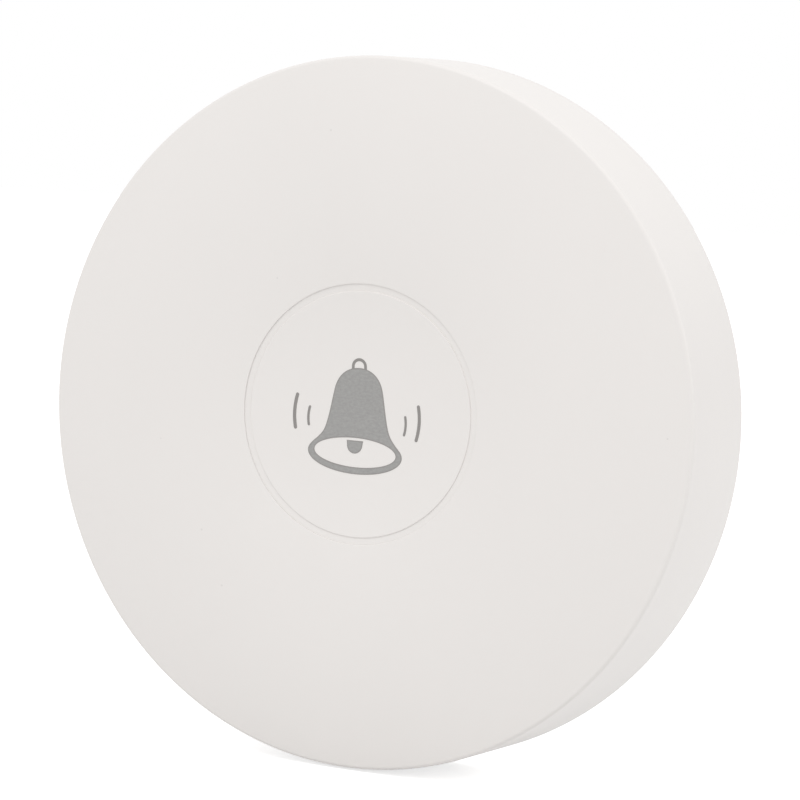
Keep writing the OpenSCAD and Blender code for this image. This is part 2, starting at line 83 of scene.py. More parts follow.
class Value:
    """A number socket of a node tree; arithmetic on it adds Math nodes."""

    def __init__(self, kit: "NodeKit", socket: bpy.types.NodeSocket) -> None:
        """Keeps the tree's kit and the socket."""
        self.kit = kit
        self.socket = socket

    def _math(self, operation: str, first: Number, second: Number = 0.0) -> "Value":
        """Adds one Math node.

        Args:
            operation: Blender's name of the operation.
            first: the left number.
            second: the right number.

        Returns:
            The node's result.
        """
        node = self.kit.add("ShaderNodeMath", {"operation": operation}, {0: first, 1: second})
        return Value(self.kit, node.outputs[0])

    def __add__(self, other: Number) -> "Value":
        """Sum."""
        return self._math("ADD", self, other)

    def __radd__(self, other: Number) -> "Value":
        """Sum, reflected."""
        return self._math("ADD", other, self)

    def __sub__(self, other: Number) -> "Value":
        """Difference."""
        return self._math("SUBTRACT", self, other)

    def __rsub__(self, other: Number) -> "Value":
        """Difference, reflected."""
        return self._math("SUBTRACT", other, self)

    def __mul__(self, other: Number) -> "Value":
        """Product."""
        return self._math("MULTIPLY", self, other)

    def __rmul__(self, other: Number) -> "Value":
        """Product, reflected."""
        return self._math("MULTIPLY", other, self)

    def __truediv__(self, other: Number) -> "Value":
        """Quotient."""
        return self._math("DIVIDE", self, other)

    def __rtruediv__(self, other: Number) -> "Value":
        """Quotient, reflected."""
        return self._math("DIVIDE", other, self)

    def __mod__(self, other: Number) -> "Value":
        """Remainder."""
        return self._math("MODULO", self, other)

    def __rmod__(self, other: Number) -> "Value":
        """Remainder, reflected."""
        return self._math("MODULO", other, self)

    def __gt__(self, other: Number) -> "Value":
        """One where this is greater, else zero."""
        return self._math("GREATER_THAN", self, other)

    def __lt__(self, other: Number) -> "Value":
        """One where this is less, else zero."""
        return self._math("LESS_THAN", self, other)

    def __abs__(self) -> "Value":
        """Size without sign."""
        return self._math("ABSOLUTE", self)

    def floor(self) -> "Value":
        """Whole number below."""
        return self._math("FLOOR", self)

    def sine(self) -> "Value":
        """Sine of an angle in radians."""
        return self._math("SINE", self)

    def cosine(self) -> "Value":
        """Cosine of an angle in radians."""
        return self._math("COSINE", self)

    def largest(self, other: Number) -> "Value":
        """The greater of the two."""
        return self._math("MAXIMUM", self, other)

    def swing(self, amount: float) -> "Value":
        """A share from 0 to 1 made to swing about zero, by half the amount to each side."""
        return (self - 0.5) * amount


class NodeKit:
    """Adds nodes to one tree, shader or geometry."""

    def __init__(self, tree: bpy.types.NodeTree) -> None:
        """Keeps the tree and empties it."""
        self.tree = tree
        self.tree.nodes.clear()

    def add(self, kind: str, settings: Optional[dict] = None,
            sockets: Optional[dict] = None) -> bpy.types.Node:
        """Adds a node, sets its settings first and then its sockets.

        Args:
            kind: Blender's type name of the node.
            settings: properties of the node by name.
            sockets: input name or number to a value, a Value, a socket or a node whose first output is used.

        Returns:
            The new node.
        """
        node = self.tree.nodes.new(kind)
        for name, setting in (settings or {}).items():
            setattr(node, name, setting)
        for name, given in (sockets or {}).items():
            self.join(given, node.inputs[name])
        return node

    def join(self, given: object, socket: bpy.types.NodeSocket) -> None:
        """Links or sets one input socket.

        Args:
            given: a Value, a socket, a node, or a plain value.
            socket: the input socket.
        """
        if isinstance(given, Value):
            self.tree.links.new(given.socket, socket)
        elif isinstance(given, bpy.types.NodeSocket):
            self.tree.links.new(given, socket)
        elif isinstance(given, bpy.types.Node):
            self.tree.links.new(given.outputs[0], socket)
        else:
            socket.default_value = given

    def value(self, node: bpy.types.Node, name: Union[str, int] = 0) -> Value:
        """An output of a node as a number to reckon with."""
        return Value(self, node.outputs[name])


class ShaderKit(NodeKit):
    """A material with one principled shader, and the few textures that the finishes share."""

    def __init__(self, name: str) -> None:
        """Makes the material with its shader.

        Args:
            name: the material's name.
        """
        self.material = bpy.data.materials.new(name)
        self.material.use_nodes = True
        super().__init__(self.material.node_tree)
        self.shader = self.add("ShaderNodeBsdfPrincipled")
        self.add("ShaderNodeOutputMaterial", None, {"Surface": self.shader})
        self.place = self.add("ShaderNodeTexCoord").outputs["Object"]

    def axis(self, name: str) -> Value:
        """One object coordinate in millimetres: X, Y or Z."""
        parts = self.add("ShaderNodeSeparateXYZ", None, {0: self.place})
        return self.value(parts, name) * (1 / MM)

    def noise(self, size: float, detail: float = 2.0, stretch: Triple = (1, 1, 1),
              distortion: float = 0.0) -> Value:
        """Cloudy noise from 0 to 1.

        Args:
            size: size of a cloud in millimetres.
            detail: octaves of finer clouds.
            stretch: how many times longer a cloud is along X, Y and Z.
            distortion: how much the clouds are warped.

        Returns:
            The noise.
        """
        scale = tuple(1 / s for s in stretch)
        place = self.add("ShaderNodeMapping", {"vector_type": "POINT"},
                         {"Vector": self.place, "Scale": scale})
        node = self.add("ShaderNodeTexNoise", {"noise_dimensions": "3D"}, {
            "Vector": place, "Scale": 1 / (size * MM), "Detail": detail, "Distortion": distortion})
        return self.value(node, 0)

    def specks(self, size: float) -> Value:
        """Distance, 0 to about 1, to the nearest of many points scattered a size in millimetres apart."""
        sockets = {"Vector": self.place, "Scale": 1 / (size * MM)}
        return self.value(self.add("ShaderNodeTexVoronoi", {"feature": "F1"}, sockets), "Distance")

    def mix(self, share: Number, first: object, second: object) -> bpy.types.NodeSocket:
        """Mixes two colours.

        Args:
            share: 0 for the first, 1 for the second.
            first: a colour or a colour socket.
            second: a colour or a colour socket.

        Returns:
            The mixed colour.
        """
        # The sockets of a Mix node share their names with those of its other types, so they go by number.
        four = [(*c, 1.0) if isinstance(c, tuple) else c for c in (first, second)]
        node = self.add("ShaderNodeMix", {"data_type": "RGBA", "clamp_factor": True},
                        {0: share, 6: four[0], 7: four[1]})
        return node.outputs[2]

    def shade(self, colour: Colour, amount: float) -> Colour:
        """A colour made lighter or darker by a share."""
        return tuple(min(1.0, c * (1 + amount)) for c in colour)

    def bump(self, height: Value, depth: float) -> None:
        """Gives the surface a fine relief, from 0 to 1 of a depth in millimetres."""
        node = self.add("ShaderNodeBump", None, {"Strength": 1.0, "Distance": depth * MM, "Height": height})
        self.join(node, self.shader.inputs["Normal"])

    def set(self, **sockets: object) -> None:
        """Sets sockets of the shader.

        Args:
            sockets: socket name to its value; an underscore in a name stands for a space.
        """
        for name, given in sockets.items():
            full = (*given, 1.0) if isinstance(given, tuple) else given
            self.join(full, self.shader.inputs[name.replace("_", " ")])


# Finishes


@dataclass(frozen=True)
class Surface:
    """A finish: a named material that each kind of surface paints in its own way."""

    name: str

    def material(self) -> bpy.types.Material:
        """Builds the material.

        Returns:
            The painted material.
        """
        kit = ShaderKit(self.name)
        self.paint(kit)
        return kit.material

    def paint(self, kit: ShaderKit) -> None:
        """Adds the nodes of this kind of surface."""
        raise NotImplementedError


@dataclass(frozen=True)
class MouldedPlastic(Surface):
    """Injection-moulded plastic: faint flow clouds in the colour, a fine eroded grain and rare dark motes."""

    colour: Colour
    roughness: float = 0.46
    clouds: float = 0.012
    grain: float = 0.3
    grain_depth: float = 0.0016
    grain_rough: float = 0.12
    cloud_size: float = 16.0
    cloud_stretch: Triple = (1, 1, 2)
    cloud_warp: float = 0.6
    cloud_rough: float = 0.06
    pit_ratio: float = 1.7
    pit_share: float = 0.3
    mote_gap: float = 5.5
    mote_r: float = 0.022
    mote_share: float = 0.25
    mote_dark: float = 0.4

    def paint(self, kit: ShaderKit) -> None:
        """Paints the plastic.

        Args:
            kit: the material's kit.
        """
        flow = kit.noise(self.cloud_size, 3, self.cloud_stretch, self.cloud_warp)
        fine = kit.noise(self.grain, 2)
        pits = kit.specks(self.grain * self.pit_ratio)
        mote = kit.specks(self.mote_gap) < self.mote_r
        clean = kit.mix(flow, kit.shade(self.colour, -self.clouds), kit.shade(self.colour, self.clouds))
        kit.set(Base_Color=kit.mix(mote * self.mote_share, clean, kit.shade(self.colour, -self.mote_dark)),
                Roughness=self.roughness + fine.swing(self.grain_rough) + flow.swing(self.cloud_rough))
        kit.bump(fine * (1 - self.pit_share) + pits * self.pit_share, self.grain_depth)


@dataclass(frozen=True)
class PrintedInk(Surface):
    """Screen-printed ink: uneven cover, a faint weave from the screen, and more ink along the outline."""

    colour: Colour
    heavy: Colour
    roughness: float = 0.5
    uneven: float = 0.3
    cover_size: float = 0.22
    cover_stretch: Triple = (1.8, 1, 1)
    weave_size: float = 0.09
    weave_share: float = 0.3
    weave_rough: float = 0.2
    relief: float = 0.0008

    def paint(self, kit: ShaderKit) -> None:
        """Paints the ink; its outline is an attribute of the mesh.

        Args:
            kit: the material's kit.
        """
        cover = kit.noise(self.cover_size, 3, self.cover_stretch)
        weave = kit.noise(self.weave_size, 1)
        share = cover * (1 - self.weave_share) + weave * self.weave_share
        thin = kit.mix(share, kit.shade(self.colour, -self.uneven), kit.shade(self.colour, self.uneven))
        contour = kit.value(kit.add("ShaderNodeAttribute", {"attribute_name": CONTOUR}), "Fac")
        kit.set(Base_Color=kit.mix(contour, thin, self.heavy),
                Roughness=self.roughness + weave.swing(self.weave_rough))
        kit.bump(weave, self.relief)


@dataclass(frozen=True)
class Metal(Surface):
    """Plated or bare metal: rolled streaks, small stains and a slight unevenness."""

    colour: Colour
    roughness: float
    streak: Triple = (1, 1, 1)
    stain: float = 0.12
    stain_size: float = 2.5
    stain_rough: float = 0.08
    streak_size: float = 0.25
    streak_rough: float = 0.22
    relief: float = 0.0015

    def paint(self, kit: ShaderKit) -> None:
        """Paints the metal.

        Args:
            kit: the material's kit.
        """
        streaks = kit.noise(self.streak_size, 2, self.streak)
        stains = kit.noise(self.stain_size, 4)
        kit.set(Base_Color=kit.mix(stains, kit.shade(self.colour, -self.stain), self.colour),
                Roughness=self.roughness + streaks.swing(self.streak_rough) + stains.swing(self.stain_rough),
                Metallic=1.0)
        kit.bump(streaks, self.relief)


@dataclass(frozen=True)
class Laminate(Surface):
    """Circuit board: green mask over copper tracks, with the bare glass laminate on its cut edges.

    Each zone gives the size of the patches in which tracks run one way, and the noise level they start at.
    """

    mask: Colour
    copper: Colour
    edge: Colour
    roughness: float = 0.3
    wave_size: float = 7.0
    wander: float = 3.0
    lane_gap: float = 2.4
    track_half: float = 0.32
    zones: tuple[Point, Point] = ((9, 0.52), (11, 0.53))
    mask_dark: float = 0.12
    edge_dark: float = 0.25
    edge_rough: float = 0.4
    edge_lean: float = 0.5
    glass_size: float = 0.35
    glass_stretch: Triple = (4, 1, 1)
    glass_rough: float = 0.1
    glass_share: float = 0.2
    relief: float = 0.02

    def paint(self, kit: ShaderKit) -> None:
        """Paints the board; faces that look away from its own axis are its cut edges.

        Args:
            kit: the material's kit.
        """
        wave = kit.noise(self.wave_size, 2)
        bend = wave.swing(self.wander)
        half = self.lane_gap / 2
        lanes = [abs((kit.axis(a) + bend) % self.lane_gap - half) < self.track_half for a in ("X", "Z")]
        runs = [lane * (kit.noise(size, 0) > level) for lane, (size, level) in zip(lanes, self.zones)]
        track = runs[0].largest(runs[1])
        glass = kit.noise(self.glass_size, 3, self.glass_stretch)
        normal = kit.add("ShaderNodeNewGeometry").outputs["Normal"]
        facing = kit.value(kit.add("ShaderNodeSeparateXYZ", None, {0: normal}), "Y")
        side = abs(facing) < self.edge_lean
        masked = kit.mix(track, kit.mix(wave, kit.shade(self.mask, -self.mask_dark), self.mask), self.copper)
        edge = kit.mix(glass, kit.shade(self.edge, -self.edge_dark), self.edge)
        kit.set(Base_Color=kit.mix(side, masked, edge),
                Roughness=self.roughness + side * self.edge_rough + glass.swing(self.glass_rough))
        kit.bump(track * (1 - self.glass_share) + glass * self.glass_share, self.relief)


@dataclass(frozen=True)
class ChipCeramic(Surface):
    """Chip body with a tinned cap on each end; the chips stand in two rows at a fixed pitch."""

    body: Colour
    tin: Colour
    first: float
    pitch: float
    length: float
    cap_from: float = 0.28
    roughness: float = 0.5
    tin_polish: float = 0.18
    fine_size: float = 0.12
    fine_dark: float = 0.2
    fine_rough: float = 0.2
    relief: float = 0.004

    def paint(self, kit: ShaderKit) -> None:
        """Paints the chips; a cap starts at a share of the length from a chip's middle.

        Args:
            kit: the material's kit.
        """
        fine = kit.noise(self.fine_size, 2)
        from_first = abs(kit.axis("X")) - (self.first - self.pitch / 2)
        cap = abs(from_first % self.pitch - self.pitch / 2) > self.length * self.cap_from
        body = kit.mix(fine, kit.shade(self.body, -self.fine_dark), self.body)
        kit.set(Base_Color=kit.mix(cap, body, self.tin), Metallic=cap,
                Roughness=self.roughness - cap * self.tin_polish + fine.swing(self.fine_rough))
        kit.bump(fine, self.relief)


@dataclass(frozen=True)
class CellJacket(Surface):
    """Battery cell: a shrunk printed sleeve with a plain band, and bare nickel ends."""

    sleeve: Colour
    band: Colour
    nickel: Colour
    middle: float
    half: float
    band_from: float = 0.55
    smudge: Colour = (0.02, 0.03, 0.06)
    smudge_share: float = 0.3
    roughness: float = 0.34
    fine_size: float = 0.4
    fine_rough: float = 0.2
    relief: float = 0.01

    def paint(self, kit: ShaderKit) -> None:
        """Paints the cell; its band starts at a share of the sleeve's half length.

        Args:
            kit: the material's kit.
        """
        fine = kit.noise(self.fine_size, 3)
        along = kit.axis("X") - self.middle
        metal = abs(along) > self.half
        banded = kit.mix(along > self.half * self.band_from, self.sleeve, self.band)
        sleeve = kit.mix(fine * self.smudge_share, banded, self.smudge)
        kit.set(Base_Color=kit.mix(metal, sleeve, self.nickel), Metallic=metal,
                Roughness=self.roughness + fine.swing(self.fine_rough))
        kit.bump(fine, self.relief)


TINNED: Colour = (0.68, 0.68, 0.67)
NICKELLED: Colour = (0.66, 0.63, 0.58)
CHIP_ROW = {"first": 6.72, "pitch": 3.2, "length": 2.2}


class Finish(Enum):
    """The finishes of this push."""

    CASE = MouldedPlastic("white_case_plastic", (0.80, 0.772, 0.75))
    PLATE = MouldedPlastic("white_plate_plastic", (0.78, 0.755, 0.735), roughness=0.56, grain=0.45,
                           grain_depth=0.004)
    INK = PrintedInk("grey_sign_ink", (0.33, 0.325, 0.317), (0.262, 0.249, 0.238))
    BOARD = Laminate("green_board", (0.012, 0.12, 0.045), (0.03, 0.21, 0.07), (0.5, 0.42, 0.2))
    STEEL = Metal("zinc_plated_steel", (0.62, 0.62, 0.63), 0.3)
    SHEET = Metal("rolled_steel_sheet", (0.66, 0.66, 0.66), 0.24, streak=(6, 1, 1), stain=0.08)
    NICKEL = Metal("nickel_plate", NICKELLED, 0.22, streak=(1, 1, 5))
    TIN = Metal("tinned_leads", (0.7, 0.7, 0.69), 0.36)
    COPPER = Metal("enamelled_copper", (0.72, 0.3, 0.12), 0.22, streak=(1, 1, 3), stain=0.2)
    BLACK = MouldedPlastic("black_switch_plastic", (0.018, 0.018, 0.02), roughness=0.42, clouds=0.2,
                           grain=0.12, grain_depth=0.003)
    RESIN = MouldedPlastic("black_chip_resin", (0.022, 0.022, 0.023), roughness=0.6, clouds=0.3,
                           grain=0.07, grain_depth=0.006)
    RESISTOR = ChipCeramic("chip_resistor", (0.02, 0.02, 0.025), TINNED, **CHIP_ROW)
    CAPACITOR = ChipCeramic("chip_capacitor", (0.36, 0.22, 0.11), TINNED, **CHIP_ROW)
    CELL = CellJacket("battery_sleeve", (0.03, 0.07, 0.2), (0.55, 0.42, 0.12), NICKELLED,
                      middle=1.0, half=13.0)

    def material(self) -> bpy.types.Material:
        """The finish's material, made once."""
        return bpy.data.materials.get(self.value.name) or self.value.material()


# Shapes


def arc(centre: Point, radius: float, start: float, end: float, steps: int) -> list[Point]:
    """Points on a circular arc, both ends included; angles in degrees."""
    turn = [math.radians(start + (end - start) * i / steps) for i in range(steps + 1)]
    return [(centre[0] + radius * math.cos(a), centre[1] + radius * math.sin(a)) for a in turn]


def rounded(path: list[Point], index: int, radius: float, steps: int) -> list[Point]:
    """One corner of a path, rounded.

    Args:
        path: the corners.
        index: the corner to round.
        radius: radius of the rounding.
        steps: number of pieces of the arc.

    Returns:
        The points of the arc, from the side of the corner before to the side of the one after.
    """
    before, corner, after = (Vector(path[i]) for i in (index - 1, index, index + 1))
    one, two = (before - corner).normalized(), (after - corner).normalized()
    half = math.acos(max(-1.0, min(1.0, one.dot(two)))) / 2
    centre = corner + (one + two).normalized() * radius / math.sin(half)
    start = corner + one * radius / math.tan(half) - centre
    end = corner + two * radius / math.tan(half) - centre
    turn = (math.atan2(end.y, end.x) - math.atan2(start.y, start.x) + 3 * math.pi) % math.tau - math.pi
    first = math.degrees(math.atan2(start.y, start.x))
    return arc(tuple(centre), radius, first, first + math.degrees(turn), steps)


def bezier(a: Point, b: Point, c: Point, d: Point, steps: int = 14) -> list[Point]:
    """Points of a cubic curve, without its last one.

    Args:
        a: where it starts.
        b: the handle of the start.
        c: the handle of the end.
        d: where it ends.
        steps: number of points.

    Returns:
        The points.
    """
    made = []
    for i in range(steps):
        t = i / steps
        k = ((1 - t) ** 3, 3 * t * (1 - t) ** 2, 3 * t * t * (1 - t), t ** 3)
        made.append(tuple(sum(w * p[n] for w, p in zip(k, (a, b, c, d))) for n in (0, 1)))
    return made


def new_piece(name: str, mesh: bpy.types.Mesh) -> bpy.types.Object:
    """Puts a mesh into the scene as an object at the origin.

    Args:
        name: the object's name.
        mesh: its mesh.

    Returns:
        The object.
    """
    piece = bpy.data.objects.new(name, mesh)
    bpy.context.scene.collection.objects.link(piece)
    return piece


def piece_from(name: str, bm: bmesh.types.BMesh, finish: Finish) -> bpy.types.Object:
    """Turns a bmesh into a piece with smooth faces, without the normals that a CAD mesh brings.

    Args:
        name: the piece's name.
        bm: its shape, which is freed.
        finish: its finish.

    Returns:
        The piece, which rides on nothing yet.
    """
    mesh = bpy.data.meshes.new(name)
    bm.to_mesh(mesh)
    bm.free()
    if mesh.has_custom_normals:
        mesh.attributes.remove(mesh.attributes["custom_normal"])
    mesh.shade_smooth()
    mesh.set_sharp_from_angle(angle=SHARP)
    mesh.materials.append(finish.material())
    mesh.polygons.foreach_set("material_index", [0] * len(mesh.polygons))
    return new_piece(name, mesh)


def merged(node: str) -> bmesh.types.BMesh:
    """A copy of a CAD node's mesh, its loose triangles joined.

    Args:
        node: the node's name.

    Returns:
        The copy.
    """
    bm = bmesh.new()
    bm.from_mesh(bpy.data.objects[node].data)
    bmesh.ops.remove_doubles(bm, verts=bm.verts, dist=MERGE)
    return bm


@dataclass
class NodeShape:
    """A Geometry Nodes tree with named inputs, applied to a mesh and turned into a plain mesh."""

    name: str
    tree: bpy.types.NodeTree = field(init=False)
    kit: NodeKit = field(init=False)
    inputs: bpy.types.Node = field(init=False)

    def __post_init__(self) -> None:
        """Makes the tree with its geometry sockets."""
        self.tree = bpy.data.node_groups.new(self.name, "GeometryNodeTree")
        self.kit = NodeKit(self.tree)
        for way in ("INPUT", "OUTPUT"):
            self.tree.interface.new_socket(name="Geometry", in_out=way, socket_type="NodeSocketGeometry")

    def open(self, **kinds: str) -> None:
        """Adds the named inputs.

        Args:
            kinds: input name to the end of its socket type, such as Int, Float or Material.
        """
        for name, kind in kinds.items():
            self.tree.interface.new_socket(name=name, in_out="INPUT", socket_type="NodeSocket" + kind)
        self.inputs = self.kit.add("NodeGroupInput")

    def close(self, shape: bpy.types.Node) -> None:
        """Ends the tree in Realize Instances and Set Material.

        Args:
            shape: the node whose geometry leaves the tree.
        """
        real = self.kit.add("GeometryNodeRealizeInstances", None, {"Geometry": shape})
        dressed = self.kit.add("GeometryNodeSetMaterial", None, {
            "Geometry": real, "Material": self.inputs.outputs["Material"]})
        self.kit.add("NodeGroupOutput", None, {"Geometry": dressed})

    def apply(self, mesh: bpy.types.Mesh, **given: object) -> bpy.types.Mesh:
        """Runs the tree on a mesh.

        Args:
            mesh: the mesh that the tree starts from.
            given: input name to its value.

        Returns:
            The plain mesh that comes out.
        """
        carrier = new_piece(self.name + "_carrier", mesh)
        modifier = carrier.modifiers.new(self.name, "NODES")
        modifier.node_group = self.tree
        for item in self.tree.interface.items_tree:
            if item.in_out == "INPUT" and item.name in given:
                modifier[item.identifier] = given[item.name]
        graph = bpy.context.evaluated_depsgraph_get()
        made = bpy.data.meshes.new_from_object(carrier.evaluated_get(graph), depsgraph=graph)
        carrier.modifiers.clear()
        bpy.data.objects.remove(carrier)
        return made


def lathe() -> NodeShape:
    """Makes the tree that turns a row of points, radius in X and place along the axis in Y, round the Y axis.

    Returns:
        The tree, with inputs for the number of points, the steps of the turn and the material.
    """
    shape = NodeShape("lathe")
    shape.open(Points="Int", Steps="Int", Material="Material")
    kit = shape.kit
    points, steps = (kit.value(shape.inputs, name) for name in ("Points", "Steps"))
    grid = kit.add("GeometryNodeMeshGrid", None, {
        "Size X": 1.0, "Size Y": 1.0, "Vertices X": steps + 1, "Vertices Y": points})
    index = kit.value(kit.add("GeometryNodeInputIndex"))
    row = kit.add("GeometryNodeSampleIndex", {"data_type": "FLOAT_VECTOR", "domain": "POINT"}, {
        "Geometry": shape.inputs.outputs["Geometry"], "Value": kit.add("GeometryNodeInputPosition"),
        "Index": index % points})
    radius, along = (kit.value(kit.add("ShaderNodeSeparateXYZ", None, {0: row}), axis) for axis in ("X", "Y"))
    # Half a point is added before the division, so that rounding can't drop a point to the turn before.
    angle = ((index + 0.5) / points).floor() / steps * math.tau
    turned = kit.add("ShaderNodeCombineXYZ", None, {
        "X": radius * angle.cosine(), "Y": along, "Z": radius * angle.sine()})
    placed = kit.add("GeometryNodeSetPosition", None, {"Geometry": grid, "Position": turned})
    closed = kit.add("GeometryNodeMergeByDistance", None, {"Geometry": placed, "Distance": MERGE})
    shape.close(kit.add("GeometryNodeSetShadeSmooth", None, {"Geometry": closed}))
    return shape


@dataclass
class Face:
    """The face's rule: a swelling ring that falls to the rim, and a dish inside it that the button shares.

    The groove round the button is shown with the cap's ledge held up against the lip by the switch. The
    skins of the case and the cap both stop a band short of where the CAD copy behind them is cut.
    """

    case_r: float = 40.0
    depth: float = 15.3
    crest_r: float = 25.8
    rim_drop: float = 1.3
    draft: float = 1.2
    rear_gap: float = 0.3
    button_r: float = 13.75
    mouth_r: float = 14.5
    lip_t: float = 0.12
    groove_h: float = 0.14
    lip_round: float = 0.1
    arc_steps: int = 8
    band: float = 0.3

    @property
    def rim_d(self) -> float:
        """Depth of the rim."""
        return self.depth - self.rim_drop

    @property
    def rim_r(self) -> float:
        """Radius of the rim."""
        return self.case_r - (self.rim_d - self.rear_gap) * math.tan(math.radians(self.draft))

    @property
    def curve(self) -> float:
        """Curvature of the swelling ring."""
        return 2 * self.rim_drop / (self.rim_r - self.crest_r) ** 2

    def height(self, r: float) -> float:
        """Depth of the face at a radius.

        Args:
            r: radius from the button's axis.

        Returns:
            Distance of the face from the wall.
        """
        if r >= self.mouth_r:
            return self.depth - self.curve / 2 * (r - self.crest_r) ** 2
        lip = self.depth - self.curve / 2 * (self.mouth_r - self.crest_r) ** 2
        dish = self.curve * (self.crest_r - self.mouth_r) / self.mouth_r
        return lip - dish / 2 * (self.mouth_r ** 2 - r * r)

    def at(self, r: float) -> Point:
        """The face's point at a radius: radius and depth."""
        return (r, self.height(r))


@dataclass
class TurnedSkin:
    """Skin of a turned piece: a fine lathe that takes the place of the outer faces of a CAD node's copy.

    A path's points are radius and depth. Each end gives its depth and the way that the band which closes it
    faces, and the cut is where the copy's straight bore or skirt is cut for the skin.
    """

    node: str
    path: list[Point]
    ends: list[tuple[float, Vector]]
    cut: Point
    finish: Finish
    steps: int = 288
    near: float = 0.03
    reach: float = 0.45
    snap: float = 1e-7

    def build(self, turning: NodeShape) -> bpy.types.Object:
        """Joins the turned skin to the CAD details behind it.

        Args:
            turning: the lathe tree.

        Returns:
            The closed piece.
        """
        bm = merged(self.node)
        self._cut_bore(bm)
        outer = [f for f in bm.faces if all(self._on_skin(v.co) for v in f.verts)]
        bmesh.ops.delete(bm, geom=outer, context="FACES")
        old = {v for e in bm.edges if e.is_boundary for v in e.verts}
        kept = set(bm.verts)
        bm.from_mesh(self._turn(turning))
        new = {v for v in bm.verts if v not in kept and v.is_boundary}
        for depth, facing in self.ends:
            rings = [[v for v in ring if abs(-v.co.y / MM - depth) < self.reach] for ring in (old, new)]
            self._zip(bm, rings[0], rings[1], facing)
        open_edges = sum(1 for e in bm.edges if e.is_boundary)
        LOG.info("%s: %d skin faces replaced, %d edges left open", self.node, len(outer), open_edges)
        return piece_from(self.node + "_turned", bm, self.finish)

    def _turn(self, turning: NodeShape) -> bpy.types.Mesh:
        """Makes the skin alone, with its faces outwards.

        Args:
            turning: the lathe tree.

        Returns:
            The skin's mesh.
        """
        row = bpy.data.meshes.new(self.node + "_row")
        row.from_pydata([(r * MM, -d * MM, 0) for r, d in self.path], [], [])
        mesh = turning.apply(row, Points=len(self.path), Steps=self.steps, Material=self.finish.material())
        highest = min(mesh.polygons, key=lambda p: p.center.y)
        if highest.normal.y > 0:
            mesh.flip_normals()
        return mesh

    def _cut_bore(self, bm: bmesh.types.BMesh) -> None:
        """Cuts the straight bore or skirt of the CAD copy where the skin ends.

        Args:
            bm: the copy.
        """
        radius, depth = self.cut
        wall = [f for f in bm.faces
                if all(abs(math.hypot(v.co.x, v.co.z) / MM - radius) < self.near for v in f.verts)]
        geom = list({*wall, *(e for f in wall for e in f.edges), *(v for f in wall for v in f.verts)})
        place = (0, -depth * MM, 0)
        bmesh.ops.bisect_plane(bm, geom=geom, dist=self.snap, plane_co=place, plane_no=(0, 1, 0))

    def _on_skin(self, co: Vector) -> bool:
        """Tells whether a CAD vertex lies on the skin's path.

        Args:
            co: the vertex's place, in metres.

        Returns:
            True where it does.
        """
        here = Vector((math.hypot(co.x, co.z) / MM, -co.y / MM))
        whole = [*self.path, self.cut]
        for a, b in zip(whole, whole[1:]):
            start, step = Vector(a), Vector(b) - Vector(a)
            share = max(0.0, min(1.0, (here - start).dot(step) / step.length_squared))
            if (start + step * share - here).length < self.near:
                return True
        return False

    @staticmethod
    def _zip(bm: bmesh.types.BMesh, one: list[bmesh.types.BMVert], two: list[bmesh.types.BMVert],
             facing: Vector) -> None:
        """Closes the band between two rings of vertices.

        Args:
            bm: the mesh.
            one: vertices of the first ring.
            two: vertices of the second ring.
            facing: x is 1 for faces away from the axis, -1 towards it; y is the direction along Y.
        """
        rings = [sorted(ring, key=lambda v: math.atan2(v.co.z, v.co.x)) for ring in (one, two)]
        turns = [[math.atan2(v.co.z, v.co.x) for v in ring] for ring in rings]
        at = [0, 0]
        sizes = [len(ring) for ring in rings]
        while at[0] < sizes[0] or at[1] < sizes[1]:
            ahead = [turns[k][(at[k] + 1) % sizes[k]] + (math.tau if at[k] + 1 >= sizes[k] else 0)
                     for k in (0, 1)]
            k = 0 if at[1] >= sizes[1] or (at[0] < sizes[0] and ahead[0] <= ahead[1]) else 1
            corner = [rings[j][at[j] % sizes[j]] for j in (0, 1)]
            face = bm.faces.new((corner[0], corner[1], rings[k][(at[k] + 1) % sizes[k]]))
            face.normal_update()
            middle = face.calc_center_median()
            out = Vector((middle.x, 0, middle.z)).normalized() * facing.x + Vector((0, facing.y, 0))
            if face.normal.dot(out) < 0:
                face.normal_flip()
            at[k] += 1


@dataclass
class FrontShell:
    """The round case: a side wall with a little draft, a swelling face and a lip over the cap's edge."""

    face: Face
    side_wall: float = 1.9
    rear_land: float = 0.22
    rear_round: float = 0.3
    rim_round: float = 0.5
    rim_steps: int = 12
    rings: int = 90
    bore_r: float = 14.9
    bore_end: float = 13.0

    def build(self, turning: NodeShape) -> bpy.types.Object:
        """Makes the case, riding on its body.

        Args:
            turning: the lathe tree.

        Returns:
            The case.
        """
        face = self.face
        ring = [face.rim_r + (face.mouth_r - face.rim_r) * i / self.rings for i in range(self.rings + 1)]
        rear = face.case_r - self.side_wall + self.rear_land
        corners = [(rear, face.rear_gap), (face.case_r, face.rear_gap), (face.rim_r, face.rim_d),
                   face.at(ring[3])]
        under = (face.mouth_r, face.height(face.mouth_r) - face.lip_t)
        lip = [face.at(ring[-2]), face.at(face.mouth_r), under]
        path = [corners[0], *rounded(corners, 1, self.rear_round, face.arc_steps)]
        path += rounded(corners, 2, self.rim_round, self.rim_steps)
        # The face's first two points lie within the rim's rounding, and its last is the lip's edge.
        path += [face.at(r) for r in ring[2:-1]]
        path += [*rounded(lip, 1, face.lip_round, face.arc_steps), under]
        path += [(self.bore_r, under[1] - self.bore_r + face.mouth_r),
                 (self.bore_r, self.bore_end + face.band)]
        ends = [(face.rear_gap, Vector((0, 1))), (self.bore_end, Vector((-1, 0)))]
        skin = TurnedSkin("front_shell", path, ends, (self.bore_r, self.bore_end), Finish.CASE)
        piece = skin.build(turning)
        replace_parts(piece, "front_shell")
        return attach(piece, "case")


